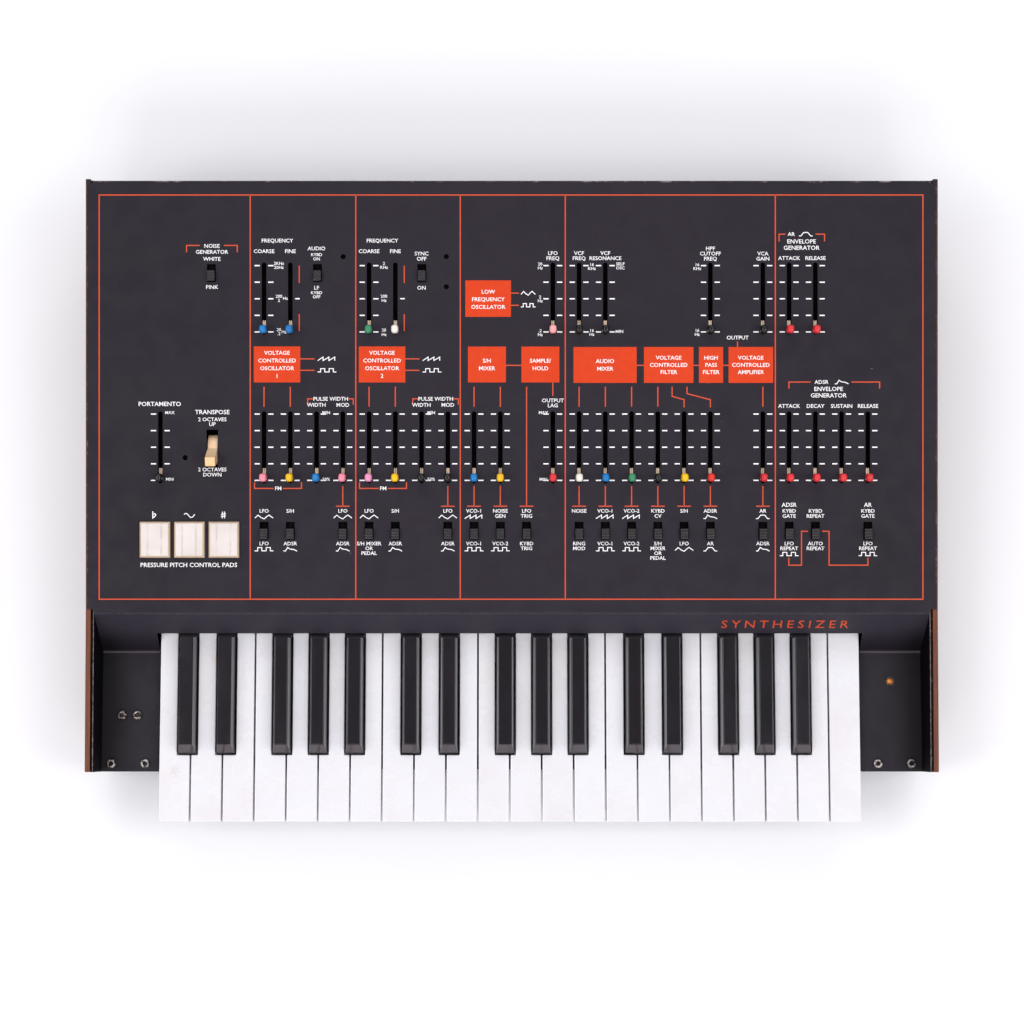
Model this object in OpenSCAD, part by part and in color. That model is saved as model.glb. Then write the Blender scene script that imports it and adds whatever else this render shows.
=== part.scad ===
// Desktop analogue synthesizer with a 37-key keyboard, slide controls, slide switches and three pitch pads.
// +X runs to the player's right, +Y to the back and +Z up. The origin is the middle of the footprint, on the table.

/* [Case] */
// Width over the wooden sides
case_w = 619; // [590:1:660]
// Thickness of each wooden side
wood_t = 3.8; // [3:0.1:12]
// Dark gap between the wood and the steel wall inside it
wood_gap = 0.7; // [0.1:0.1:2]
// Thickness of the folded sheet metal
sheet_t = 1.5; // [1:0.1:2]
// Outer radius of the sheet metal's bends
bend_r = 2.5; // [2.2:0.1:4]
// Height of the top panel's front edge above the table
panel_edge_h = 107; // [95:1:125]
// Slope of the top panel, rising to the back
panel_tilt = 6; // [0:0.5:12]
// Length of the top panel along its slope
panel_len = 314; // [300:0.1:340]
// How far the fascia under the panel's edge reaches forward
fascia_run = 26.5; // [20:0.5:50]
// How far the fascia drops from the panel's edge to the key shelf
fascia_drop = 44; // [35:0.5:50]
// Depth of the shelf beside the keys
shelf_run = 88.5; // [70:0.5:110]
// Height of the cheeks above the shelf at their front end
cheek_front_h = 35; // [20:1:44]
// How far the wood stands proud of the panel at the sides and the back
wood_proud = 1.2; // [0:0.1:3]
// Height of the case's floor above the table
foot_h = 9; // [5:1:20]

/* [Keyboard] */
// How far the keyboard sits to the right of the case's middle
keyboard_shift = -1.5; // [-5:0.1:5]
// Distance from one white key to the next
key_pitch = 23.5; // [22:0.1:24]
// Number of white keys
white_keys = 22; // [8:1:22]
// How far the white keys reach out past the front of the case
key_overhang = 36.5; // [10:0.5:60]
// Height of the white keys' tops above the shelf
key_rise = 9; // [4:1:14]
// Height of a white key's skirt
key_h = 17; // [14:1:20]
// Width of a black key at its foot
black_w = 13.6; // [11:0.1:15]
// Height of a black key above the white ones
black_rise = 11.5; // [9:0.5:13]
// Length of a black key's cap
black_len = 85; // [80:1:100]
// Diameter of the rod that the keys turn on
rod_d = 5; // [3:0.5:6]

/* [Controls] */
// Distance between neighbouring slide controls
slider_pitch = 19.05; // [16:0.05:22]
// How far a slide control travels
slider_travel = 44; // [20:1:50]
// Distance from the panel's front edge to the middle of the rear row of slots
rear_row_v = 228; // [200:1:250]
// Distance from the panel's front edge to the middle of the front row of slots
front_row_v = 120; // [100:1:140]
// Distance from the panel's front edge to the middle of the row of switches
switch_row_v = 59.5; // [50:0.5:70]
// Width of a slide control's slot
slot_w = 3.4; // [2.8:0.1:5]
// Height of a slide control's cap above the panel
cap_h = 13; // [8:0.5:18]
// Travel of a slide switch
switch_travel = 4.4; // [2:0.1:5]
// Size of a pitch pad from side to side
pad_w = 22; // [16:1:23]
// Size of a pitch pad from front to back
pad_l = 26; // [18:1:32]
// Travel of a pitch pad
pad_travel = 1.5; // [0.5:0.1:2]

/* [Hidden] */
$fn = 48;
slack = 0.1;             // gap between fixed pieces that meet
run_gap = 0.4;           // gap around a piece that moves
bore_gap = 0.06;         // radial clearance of a key on its rod

// Places along the depth of the case, from the back to the front
run = panel_len * cos(panel_tilt);
depth = wood_proud + run + fascia_run + shelf_run + key_overhang;
y_back = depth / 2;
y_panel_back = y_back - wood_proud;
y_edge = y_panel_back - run;
y_fold = y_edge - fascia_run;
y_front = y_fold - shelf_run;
y_keys = y_front - key_overhang;
y_rear_wall = y_back - 7;

// Heights
z_shelf = panel_edge_h - fascia_drop;
z_key = z_shelf + key_rise;
z_floor = foot_h + sheet_t;
z_cheek_front = z_shelf + cheek_front_h;
z_key_cut = z_key + black_rise + 0.5;
z_frame = z_key - key_h - 15;
z_rod = z_key - 11;

// Widths
wall_out = case_w / 2 - wood_t - wood_gap;
wall_in = wall_out - sheet_t;
keys_w = key_pitch * white_keys;
shelf_x = keys_w / 2 + 1.1;
well_x = keys_w / 2 + 2;

// Keyboard
y_rod = y_edge + 14;
tail_len = 12;
key_gap = 1.2;
y_black_front = y_keys + 50;
lug_gap = 0.9;
black_shift = [undef, -0.1, 0.1, undef, -0.14, 0, 0.14];

// Controls: columns are counted from the first oscillator slider
column_shift = 1.2;
slot_len = slider_travel + 8.3;
rear_columns = [0, 1, 4, 5, 11, 12, 13, 17, 19, 20, 21];
front_columns = [for (n = [0:23]) if (n != 10 && n != 18) n];
glide_x = -255;
switch_columns = [0, 1, 3, 4, 5, 7, 8, 9, 10, 12, 13, 14, 15, 16, 17, 19, 20, 21, 23];
rear_switch_x = [-218, -141, -65.3];
rear_switch_v = 246.5;
window_w = 6.5;
window_l = 13;
pads_x = [-258.7, -233.7, -208.7];
pad_v = 53;
lever_x = -217.4;
lever_v = 119;
lever_slot = [8.3, 27.6];
lever_depth = 14;        // depth of the transpose lever's axle under the panel
lever_rest = 20;         // lean of the lever towards the player at rest
trimmers = [[-122.3, 258.3], [-47.5, 258.3], [-47.5, 236.5], [-237, 112.5]];
board_w = -13;           // height of the control board's top face, measured from the panel's face

rear_sockets_x = [-150, -120, -60, -30];
inlet_x = 215;
power_x = 250;
rocker_in = 4;           // depth of the power rocker's pin inside the rear wall
rocker_pin_d = 3;
socket_z = foot_h + 32;
socket_r = 3.25;
inlet_r = 3.1;
light_pos = [280.3, y_fold - 22];
shelf_screws = [
    [-288.5, y_fold - 47],
    [-277.3, y_fold - 47],
    [-296, y_front + 6],
    [-271, y_front + 6],
    [270.6, y_front + 6],
    [295.2, y_front + 6]
];
floor_screws = [for (x = [-240, -80, 80, 240]) for (y = [y_front + 22, y_back - 30]) [x, y]];
feet_pos = [for (x = [-1, 1]) for (y = [y_front + 45, y_back - 45]) [x * (wall_in - 30), y]];

function number_name(i) = i < 10 ? str("0", i) : str(i);
function column_x(n) = (n - 9.5) * slider_pitch + column_shift;
function key_edge_x(i) = keyboard_shift - keys_w / 2 + i * key_pitch;
function has_black(i) = i > 0 && i < white_keys && black_shift[i % 7] != undef;
function black_x(i) = key_edge_x(i) + black_shift[i % 7] * key_pitch;

black_edges = [for (i = [1:white_keys - 1]) if (has_black(i)) i];
white_names = [for (i = [1:white_keys]) str("white_key_", number_name(i))];
black_names = [for (i = [1:len(black_edges)]) str("black_key_", number_name(i))];

// Slide controls of each section: the row's distance up the panel, then its columns
function rear_in(low, high) = [for (n = rear_columns) if (n >= low && n <= high) [column_x(n), rear_row_v]];
function front_in(low, high) = [for (n = front_columns) if (n >= low && n <= high) [column_x(n), front_row_v]];
osc1_places = concat(rear_in(0, 3), front_in(0, 3));
osc2_places = concat(rear_in(4, 7), front_in(4, 7));
lfo_places = concat(rear_in(8, 11), front_in(8, 11));
filter_places = concat(rear_in(12, 18), front_in(12, 18));
envelope_places = concat(rear_in(19, 23), front_in(19, 23));
glide_places = [[glide_x, front_row_v]];
slider_places = concat(osc1_places, osc2_places, lfo_places, filter_places, envelope_places, glide_places);
switch_places = concat(
    [for (n = switch_columns) [column_x(n), switch_row_v]],
    [for (x = rear_switch_x) [x, rear_switch_v]]
);

// ---- Helpers ----

// Moves to a place on the panel: x across, v up the slope from the front edge, w out of its face
module on_panel(x, v, w = 0) {
    translate([0, y_edge, panel_edge_h])
        rotate([panel_tilt, 0, 0])
            translate([x, v, w])
                children();
}

// A block centred on x and y that starts at z = low
module block(w, l, low, high) {
    translate([-w / 2, -l / 2, low])
        cube([w, l, high - low]);
}

// A block with rounded corners, seen from above
module soft_block(w, l, low, high, r) {
    translate([0, 0, low])
        linear_extrude(high - low)
            union() {
                square([w - 2 * r, l], center = true);
                square([w, l - 2 * r], center = true);
                for (x = [-1, 1], y = [-1, 1])
                    translate([x * (w / 2 - r), y * (l / 2 - r)])
                        circle(r);
            }
}

// A slot with round ends, cut along the panel's slope
module slot_hole(w, l) {
    for (y = [-1, 1])
        translate([0, y * (l - w) / 2, -6])
            cylinder(d = w, h = 12);
    block(w, l - w, -6, 6);
}

// Extrudes a side view, given as [y, z] points, across the width
module across(width, x = 0) {
    translate([x - width / 2, 0, 0])
        rotate([90, 0, 90])
            linear_extrude(width)
                children();
}

function unit(v) = v / norm(v);
function turned(v, a) = [v[0] * cos(a) - v[1] * sin(a), v[0] * sin(a) + v[1] * cos(a)];
function cross_z(a, b) = a[0] * b[1] - a[1] * b[0];

// Points of an arc of radius r that rounds the corner b between a and c
function bend(a, b, c, r, steps = 6) =
    let (
        to_a = unit(a - b),
        to_c = unit(c - b),
        half = acos(to_a * to_c) / 2,
        centre = b + r / sin(half) * unit(to_a + to_c),
        spoke = b + r / tan(half) * to_a - centre,
        side = cross_z(to_a, to_c) > 0 ? -1 : 1
    )
    [for (k = [0:steps]) centre + turned(spoke, side * k / steps * (180 - 2 * half))];

// The line with each of its inner corners rounded
function bent(line) = [
    for (i = [0:len(line) - 1])
        each (i == 0 || i == len(line) - 1) ? [line[i]] : bend(line[i - 1], line[i], line[i + 1], bend_r)
];
function side_of(a, b) = let (d = unit(b - a)) [-d[1], d[0]];
function bend_shift(n1, n2) = (n1 + n2) / (1 + n1 * n2);
function inner_point(p, i, t) =
    i == 0 ? p[0] + t * side_of(p[0], p[1]) :
    i == len(p) - 1 ? p[i] + t * side_of(p[i - 1], p[i]) :
    p[i] + t * bend_shift(side_of(p[i - 1], p[i]), side_of(p[i], p[i + 1]));

// Side view of a folded sheet: its outer line with rounded bends, and the same line one thickness further in
module sheet(corners, t) {
    line = bent(corners);
    last = len(line) - 1;
    inner = [for (i = [last:-1:0]) inner_point(line, i, t)];
    polygon(concat(line, inner));
}

// ---- Case ----

// Outline of a side of the case, seen from the right
module cheek_outline(rear) {
    under = sheet_t + slack;
    polygon([
        [y_front, foot_h],
        [rear, foot_h],
        [rear, panel_edge_h + (rear - y_edge) * tan(panel_tilt) - under],
        [y_edge, panel_edge_h - under],
        [y_front, z_cheek_front]
    ]);
}

module wood_sides() {
    color("#8c5137")
        for (x = [-1, 1])
            across(wood_t, x * (case_w - wood_t) / 2)
                cheek_outline(y_back);
}

module panel_holes() {
    for (p = slider_places)
        on_panel(p[0], p[1])
            slot_hole(slot_w, slot_len);
    for (p = switch_places)
        on_panel(p[0], p[1])
            block(window_w, window_l, -6, 6);
    for (x = pads_x)
        on_panel(x, pad_v)
            block(pad_w + 2 * run_gap, pad_l + 2 * run_gap, -6, 6);
    on_panel(lever_x, lever_v)
        block(lever_slot[0], lever_slot[1], -6, 6);
    for (p = trimmers)
        on_panel(p[0], p[1], -6)
            cylinder(d = 3.8, h = 12);
}

module top_panel() {
    rear_lip = 14;
    front_lip = 9;
    rear_top = panel_edge_h + run * tan(panel_tilt);
    color("#352f39")
        difference() {
            union() {
                // Flat of the panel, which also covers the tops of the wooden sides
                on_panel(0, panel_len / 2)
                    block(case_w - 2 * wood_proud, panel_len - 2 * bend_r, -sheet_t, 0);
                across(2 * (wall_in - slack))
                    sheet([
                        [y_panel_back, rear_top - rear_lip],
                        [y_panel_back, rear_top],
                        [y_edge, panel_edge_h],
                        [y_fold, z_shelf],
                        [y_front, z_shelf],
                        [y_front, z_shelf - front_lip]
                    ], sheet_t);
            }
            translate([keyboard_shift - shelf_x, y_keys - 1, 0])
                cube([2 * shelf_x, y_edge - y_keys, z_key_cut]);
            panel_holes();
            for (p = shelf_screws)
                translate([p[0], p[1], z_shelf - 5])
                    cylinder(d = 3.4, h = 10);
            translate([light_pos[0], light_pos[1], z_shelf - 5])
                cylinder(d = 5.2, h = 10);
        }
}

module bottom_case() {
    rear_wall_top = panel_edge_h + (y_rear_wall - y_edge) * tan(panel_tilt) - 2;
    front_in_y = y_front + sheet_t + slack;
    front_top = z_shelf - bend_r;
    key_front_top = z_key - key_h - 10;
    color("#2b2630")
        difference() {
            union() {
                across(2 * wall_in)
                    sheet([
                        [y_rear_wall, rear_wall_top],
                        [y_rear_wall, foot_h],
                        [front_in_y, foot_h],
                        [front_in_y, front_top]
                    ], -sheet_t);
                for (x = [-1, 1]) {
                    across(sheet_t, x * (wall_out - sheet_t / 2))
                        cheek_outline(y_panel_back);
                    across(sheet_t, keyboard_shift + x * (well_x + sheet_t / 2))
                        polygon([
                            [front_in_y + sheet_t, z_floor],
                            [y_edge + 30, z_floor],
                            [y_edge + 30, front_top],
                            [front_in_y + sheet_t, front_top]
                        ]);
                }
            }
            translate([keyboard_shift - well_x, y_front - 1, key_front_top])
                cube([2 * well_x, 10, key_h + 30]);
            for (x = rear_sockets_x)
                translate([x, y_rear_wall, socket_z])
                    rotate([90, 0, 0])
                        cylinder(r = 5, h = 10, center = true);
            translate([inlet_x, y_rear_wall, socket_z])
                rotate([90, 0, 0])
                    cylinder(r = 5, h = 10, center = true);
            translate([power_x - 7.2, y_rear_wall - 5, socket_z - 10.2])
                cube([14.4, 10, 20.4]);
            for (p = floor_screws)
                translate([p[0], p[1], 0])
                    cylinder(d = 3.4, h = 30);
            for (p = feet_pos)
                translate([p[0], p[1], 0])
                    cylinder(d = 5.2, h = 30);
        }
}

module feet() {
    color("#18181a")
        for (p = feet_pos)
            translate([p[0], p[1], 0]) {
                cylinder(r1 = 12, r2 = 13, h = foot_h);
                translate([0, 0, foot_h])
                    cylinder(d = 5, h = sheet_t + 2);
                translate([0, 0, z_floor])
                    cylinder(d = 8, h = 2);
            }
}

// Screw with a rounded head and a hexagonal socket
module socket_screw(length) {
    head_r = 3.4;
    head_h = 2.6;
    difference() {
        union() {
            cylinder(r = head_r, h = head_h - 0.7);
            translate([0, 0, head_h - 0.7])
                cylinder(r1 = head_r, r2 = head_r - 0.9, h = 0.7);
            translate([0, 0, -length])
                cylinder(d = 3, h = length);
        }
        translate([0, 0, head_h - 1.6])
            cylinder(d = 3.4, h = 3, $fn = 6);
    }
}

module screws() {
    color("#8d8f92") {
        for (p = shelf_screws)
            translate([p[0], p[1], z_shelf])
                socket_screw(7);
        for (p = floor_screws)
            translate([p[0], p[1], foot_h])
                rotate([180, 0, 0])
                    socket_screw(5);
    }
}

module power_light() {
    color("#e8a33a")
        translate([light_pos[0], light_pos[1], z_shelf]) {
            sphere(d = 5);
            // Its black holder
            cylinder(d = 7.4, h = 0.9);
            translate([0, 0, -6])
                cylinder(d = 5, h = 6);
        }
}

// ---- Keyboard ----

module key_frame() {
    x_end = keys_w / 2 + 0.5;
    bracket_t = 1.4;
    y_low = y_front + 12;
    y_high = y_rod + 16;
    color("#a6a9ad") {
        // Plate under the keys, on two upright flanges that stand on the floor of the case
        across(2 * x_end, keyboard_shift)
            sheet([
                [y_low, z_floor],
                [y_low, z_frame],
                [y_high, z_frame],
                [y_high, z_floor]
            ], -2);
        // Rod that every key turns on, and the two brackets that hold it
        translate([keyboard_shift, y_rod, z_rod])
            rotate([0, 90, 0])
                cylinder(d = rod_d, h = 2 * x_end, center = true);
        for (x = [-1, 1])
            across(bracket_t, keyboard_shift + x * (x_end + bracket_t / 2 - 0.2))
                polygon([
                    [y_rod - 10, z_frame - 12],
                    [y_rod + 10, z_frame - 12],
                    [y_rod + 6, z_rod + 6],
                    [y_rod - 6, z_rod + 6]
                ]);
        // Felt-covered rail that stops the keys
        across(2 * x_end, keyboard_shift)
            translate([y_low + 6, z_frame - 1])
                square([12, 7]);
    }
}

// Side view of the back of a key: the lug that wraps the rod
module key_lug(width, x, top) {
    difference() {
        across(width, x)
            polygon([
                [y_rod - 20, z_key - key_h],
                [y_rod - 6, z_rod - 6],
                [y_rod + tail_len, z_rod - 6],
                [y_rod + tail_len, z_rod + 4],
                [y_rod + 6, top],
                [y_rod - 20, top]
            ]);
        translate([x, y_rod, z_rod])
            rotate([0, 90, 0])
                cylinder(d = rod_d + 2 * bore_gap, h = width + 2, center = true);
    }
}

// White key number i, counted from the left
module white_key(i) {
    shell = 2.2;
    left = key_edge_x(i - 1);
    low = left + key_gap / 2;
    high = left + key_pitch - key_gap / 2;
    notch = black_w / 2 + lug_gap;
    tail_low = has_black(i - 1) ? black_x(i - 1) + notch : low;
    tail_high = has_black(i) ? black_x(i) - notch : high;
    y_step = y_black_front - 1.2;
    y_lug = y_rod - 20;
    z_low = z_key - key_h;
    color("#f3f1f5") {
        difference() {
            translate([low, y_keys, z_low])
                cube([high - low, y_step - y_keys, key_h]);
            translate([low + shell, y_keys + shell, z_low - 1])
                cube([high - low - 2 * shell, y_step - y_keys - 2 * shell, key_h - shell + 1]);
        }
        difference() {
            translate([tail_low, y_step - shell, z_low])
                cube([tail_high - tail_low, y_lug - y_step + shell, key_h]);
            translate([tail_low + shell, y_step, z_low - 1])
                cube([tail_high - tail_low - 2 * shell, y_lug - y_step - shell, key_h - shell + 1]);
        }
        key_lug(tail_high - tail_low, (tail_low + tail_high) / 2, z_key);
    }
}

// Black key that stands over white-key edge i
module black_key(i) {
    shell = 2;
    top_w = 9.8;
    front_slope = 6.5;
    z_low = z_key - key_h;
    z_top = z_key + black_rise;
    y_cap_back = y_black_front + black_len;
    y_lug = y_rod - 20;
    under = z_key - 2;
    translate([black_x(i), 0, 0])
        color("#1d1a1f") {
            difference() {
                intersection() {
                    // Seen from the side: upright back and a sloping front
                    across(black_w)
                        polygon([
                            [y_black_front, z_low],
                            [y_lug, z_low],
                            [y_lug, under],
                            [y_cap_back, under],
                            [y_cap_back, z_top],
                            [y_black_front + front_slope, z_top],
                            [y_black_front, z_key]
                        ]);
                    // Seen from the front: sides that lean in above the white keys
                    translate([0, y_lug, 0])
                        rotate([90, 0, 0])
                            linear_extrude(y_lug - y_black_front)
                                polygon([
                                    [-black_w / 2, z_low],
                                    [black_w / 2, z_low],
                                    [black_w / 2, z_key],
                                    [top_w / 2, z_top],
                                    [-top_w / 2, z_top],
                                    [-black_w / 2, z_key]
                                ]);
                }
                translate([-black_w / 2 + shell, y_black_front + shell, z_low - 1])
                    cube([black_w - 2 * shell, y_lug - y_black_front - 2 * shell, key_h - 3]);
            }
            key_lug(black_w, 0, under);
        }
}

// One small coil spring for each key, hung between the key's tail and the frame
module key_springs() {
    turns = 7;
    y = y_rod + tail_len - 3.5;
    top = z_rod - 6.7;
    low = z_frame + 0.1;
    rise = (top - low) / turns;
    centres = concat(
        [for (i = [1:white_keys]) let (
            a = has_black(i - 1) ? black_x(i - 1) + black_w / 2 : key_edge_x(i - 1),
            b = has_black(i) ? black_x(i) - black_w / 2 : key_edge_x(i)
        ) (a + b) / 2],
        [for (i = black_edges) black_x(i)]
    );
    profile = concat(
        [[0.9, 0]],
        [for (k = [0:turns - 1]) each [[2.3, (k + 0.3) * rise], [2.3, (k + 0.7) * rise], [1.7, (k + 1) * rise]]],
        [[0.9, turns * rise]]
    );
    color("#b9bcc0")
        for (x = centres)
            translate([x, y, low])
                rotate_extrude($fn = 24)
                    polygon(profile);
}

// ---- Controls ----

// Cap, stem and carriage of one slide control, with the control at its lowest mark
module slider(p) {
    on_panel(p[0], p[1] - slider_travel / 2) {
        soft_block(5.2, 6.1, 3, cap_h, 1.4);
        block(2.4, 3, -2.5, 4);
        translate([0, 2, 0])
            block(2.6, 7.6, -7, -sheet_t - run_gap);
    }
}

module sliders(places, shade) {
    color(shade)
        for (p = places)
            slider(p);
}

module osc1_sliders() {
    sliders(osc1_places, "#0a7cc8");
}

module osc2_sliders() {
    sliders(osc2_places, "#f5c123");
}

module lfo_sliders() {
    sliders(lfo_places, "#60a385");
}

module filter_sliders() {
    sliders(filter_places, "#f8adaf");
}

module envelope_sliders() {
    sliders(envelope_places, "#e84450");
}

module glide_slider() {
    sliders(glide_places, "#1b191d");
}

module function_switches() {
    color("#1b191d")
        for (p = switch_places)
            on_panel(p[0], p[1] - switch_travel / 2) {
                difference() {
                    block(5.5, 7.4, -2.8, 4.6);
                    for (v = [-2, 0, 2])
                        translate([0, v, 0])
                            block(6, 0.7, 4, 6);
                }
            }
}

// Bodies of the slide controls and switches, between the control board and the panel
module control_housings() {
    color("#6d6f73") {
        for (p = slider_places)
            on_panel(p[0], p[1])
                difference() {
                    block(8.4, slot_len + 10, board_w, -3);
                    block(slot_w, slot_len + 7, -8, 0);
                }
        for (p = switch_places)
            on_panel(p[0], p[1])
                block(8, 16, board_w, -3.2);
        // Cradle of the transpose lever, with its axle
        on_panel(lever_x, lever_v) {
            for (x = [-1, 1])
                translate([x * 7, 0, 0])
                    block(1.6, 12, board_w - 8, -2);
            translate([0, 0, -lever_depth])
                rotate([0, 90, 0])
                    cylinder(d = 3, h = 14.4, center = true);
        }
        // Force sensors under the pitch pads
        for (x = pads_x)
            on_panel(x, pad_v)
                block(pad_w - 6, pad_l - 6, board_w, -5 - pad_travel - 1);
    }
}

module circuit_boards() {
    board_l = 262;
    board_x = wall_in - 12;
    color("#2f5a34")
        difference() {
            union() {
                on_panel(0, 150)
                    block(2 * board_x, board_l, board_w - 1.6, board_w);
                translate([keyboard_shift, y_rod - 62, 0])
                    block(keys_w - 8, 28, z_frame, z_frame + 1.6);
            }
            on_panel(lever_x, lever_v)
                block(15.6, 34, board_w - 10, 0);
        }
}

module transpose_lever() {
    drum_r = lever_depth - 2.2;
    drum_w = lever_slot[0] - 1;
    color("#e6c795")
        on_panel(lever_x, lever_v, -lever_depth)
            rotate([lever_rest, 0, 0])
                difference() {
                    intersection() {
                        union() {
                            rotate([0, 90, 0])
                                cylinder(r = drum_r, h = drum_w, center = true);
                            across(drum_w)
                                polygon([
                                    [-4.5, drum_r - 2],
                                    [4.5, drum_r - 2],
                                    [3.4, drum_r + 17],
                                    [-3.4, drum_r + 17]
                                ]);
                        }
                        across(drum_w)
                            polygon([
                                [-drum_r, drum_r + 24],
                                [-drum_r, 2],
                                [-3, -4],
                                [3, -4],
                                [drum_r, 2],
                                [drum_r, drum_r + 24]
                            ]);
                    }
                    rotate([0, 90, 0])
                        cylinder(d = 3 + 2 * bore_gap, h = drum_w + 2, center = true);
                }
}

// Pad with a flange under the panel that keeps it from coming out
module pitch_pad(x) {
    rise = 4.2;
    edge = 1.4;
    flange_top = -sheet_t - run_gap;
    color("#f3e9e4")
        on_panel(x, pad_v) {
            intersection() {
                rotate([90, 0, 0])
                    linear_extrude(pad_l, center = true)
                        polygon([
                            [-pad_w / 2, -5],
                            [pad_w / 2, -5],
                            [pad_w / 2, rise - edge],
                            [pad_w / 2 - edge, rise],
                            [-pad_w / 2 + edge, rise],
                            [-pad_w / 2, rise - edge]
                        ]);
                rotate([90, 0, 90])
                    linear_extrude(pad_w, center = true)
                        polygon([
                            [-pad_l / 2, -5],
                            [pad_l / 2, -5],
                            [pad_l / 2, rise - edge],
                            [pad_l / 2 - edge, rise],
                            [-pad_l / 2 + edge, rise],
                            [-pad_l / 2, rise - edge]
                        ]);
            }
            block(pad_w + 2, pad_l + 3, -5, flange_top);
        }
}

module flat_pad() {
    pitch_pad(pads_x[0]);
}

module vibrato_pad() {
    pitch_pad(pads_x[1]);
}

module sharp_pad() {
    pitch_pad(pads_x[2]);
}

// ---- Rear ----

// A socket that runs along Y, its mouth at the back
module round_socket(x, bore_r, length, body_w) {
    translate([x, y_rear_wall, socket_z])
        rotate([-90, 0, 0])
            difference() {
                union() {
                    translate([0, 0, slack])
                        cylinder(r = 6.5, h = 3, $fn = 6);
                    translate([0, 0, -6])
                        cylinder(r = 4.9, h = 9.6);
                    block(body_w, body_w, -length - 8, -sheet_t - slack);
                }
                translate([0, 0, -length])
                    cylinder(r = bore_r, h = length + 10);
            }
}

module rear_sockets() {
    color("#3a3b3e") {
        for (x = rear_sockets_x)
            round_socket(x, socket_r, 16, 15);
        round_socket(inlet_x, inlet_r, 9, 13);
        // Frame of the power switch, with the pin that its rocker turns on
        translate([power_x, y_rear_wall, socket_z])
            rotate([-90, 0, 0]) {
                difference() {
                    union() {
                        block(17, 23, slack, 1.6);
                        block(14, 20, -16, slack);
                    }
                    block(10.6, 16.6, -13, 5);
                }
                translate([0, 0, -rocker_in])
                    rotate([0, 90, 0])
                        cylinder(d = rocker_pin_d, h = 12, center = true);
            }
    }
}

// Rocker of the power switch, tipped to its off side
module power_switch() {
    color("#18181a")
        translate([power_x, y_rear_wall - rocker_in, socket_z])
            rotate([8, 0, 0])
                difference() {
                    across(10)
                        polygon([
                            [5.6, -7.2],
                            [4.6, 0],
                            [5.6, 7.2],
                            [-2, 6.4],
                            [-5, 2.5],
                            [-5, -2.5],
                            [-2, -6.4]
                        ]);
                    rotate([0, 90, 0])
                        cylinder(d = rocker_pin_d + 2 * bore_gap, h = 12, center = true);
                }
}

// ---- Assembly ----

top_panel();
bottom_case();
wood_sides();
key_frame();
key_springs();
circuit_boards();
control_housings();
rear_sockets();
feet();
screws();
power_light();
power_switch();
osc1_sliders();
osc2_sliders();
lfo_sliders();
filter_sliders();
envelope_sliders();
glide_slider();
function_switches();
transpose_lever();
flat_pad();
vibrato_pad();
sharp_pad();
for (i = [1:white_keys])
    white_key(i);
for (k = [0:len(black_names) - 1])
    black_key(black_edges[k]);
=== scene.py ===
"""Looks of the desktop synthesizer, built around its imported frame. Lengths are in millimetres
until a mesh is made, and the panel's own directions are x (across), v (up its slope) and w (out of it)."""

import math

import bmesh
import bpy
from mathutils import Matrix, Vector


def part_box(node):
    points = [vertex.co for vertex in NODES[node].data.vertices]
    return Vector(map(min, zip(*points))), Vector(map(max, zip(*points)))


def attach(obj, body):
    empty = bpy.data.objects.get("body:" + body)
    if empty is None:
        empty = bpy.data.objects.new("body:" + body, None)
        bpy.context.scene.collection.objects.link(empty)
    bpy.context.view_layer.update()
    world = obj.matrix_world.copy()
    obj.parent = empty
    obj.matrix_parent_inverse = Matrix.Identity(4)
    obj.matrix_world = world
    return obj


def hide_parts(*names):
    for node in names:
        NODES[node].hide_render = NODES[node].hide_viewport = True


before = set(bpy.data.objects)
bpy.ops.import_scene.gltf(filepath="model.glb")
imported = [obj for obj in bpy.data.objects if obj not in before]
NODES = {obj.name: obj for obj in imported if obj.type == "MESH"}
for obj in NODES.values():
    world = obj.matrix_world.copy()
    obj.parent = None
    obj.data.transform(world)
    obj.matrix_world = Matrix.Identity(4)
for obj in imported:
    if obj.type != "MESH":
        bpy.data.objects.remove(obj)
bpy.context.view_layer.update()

MM = 0.001
TILT = math.radians(6)
PANEL_LEN = 314
FASCIA_DROP, FASCIA_RUN = 44, 26.5
SHELF_RUN = 88.5
FRONT_LIP = 9
# Slide controls: the step from column to column, the middle of each row up the slope, and the travel
PITCH = 19.05
REAR_V, FRONT_V = 228, 120
TRAVEL = 44
GLIDE_X = -255

panel_low, panel_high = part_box("top_panel")
y_edge = panel_high.y - PANEL_LEN * MM * math.cos(TILT)
z_edge = panel_low.z + (FASCIA_DROP + FRONT_LIP) * MM
z_shelf = z_edge - FASCIA_DROP * MM
y_fold = y_edge - FASCIA_RUN * MM
y_front = y_fold - SHELF_RUN * MM
# Panel millimetres to world metres
PANEL = (
    Matrix.Translation((0, y_edge, z_edge))
    @ Matrix.Rotation(TILT, 4, "X")
    @ Matrix.Diagonal((MM, MM, MM, 1))
)


def column_x(n):
    return (n - 9.5) * PITCH + 1.2


def srgb(r, g, b):
    """A colour given as the screen shows it, made linear."""
    def one(c):
        c /= 255
        return c / 12.92 if c <= 0.04045 else ((c + 0.055) / 1.055) ** 2.4
    return (one(r), one(g), one(b), 1)


# ---- Materials ----

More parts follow.
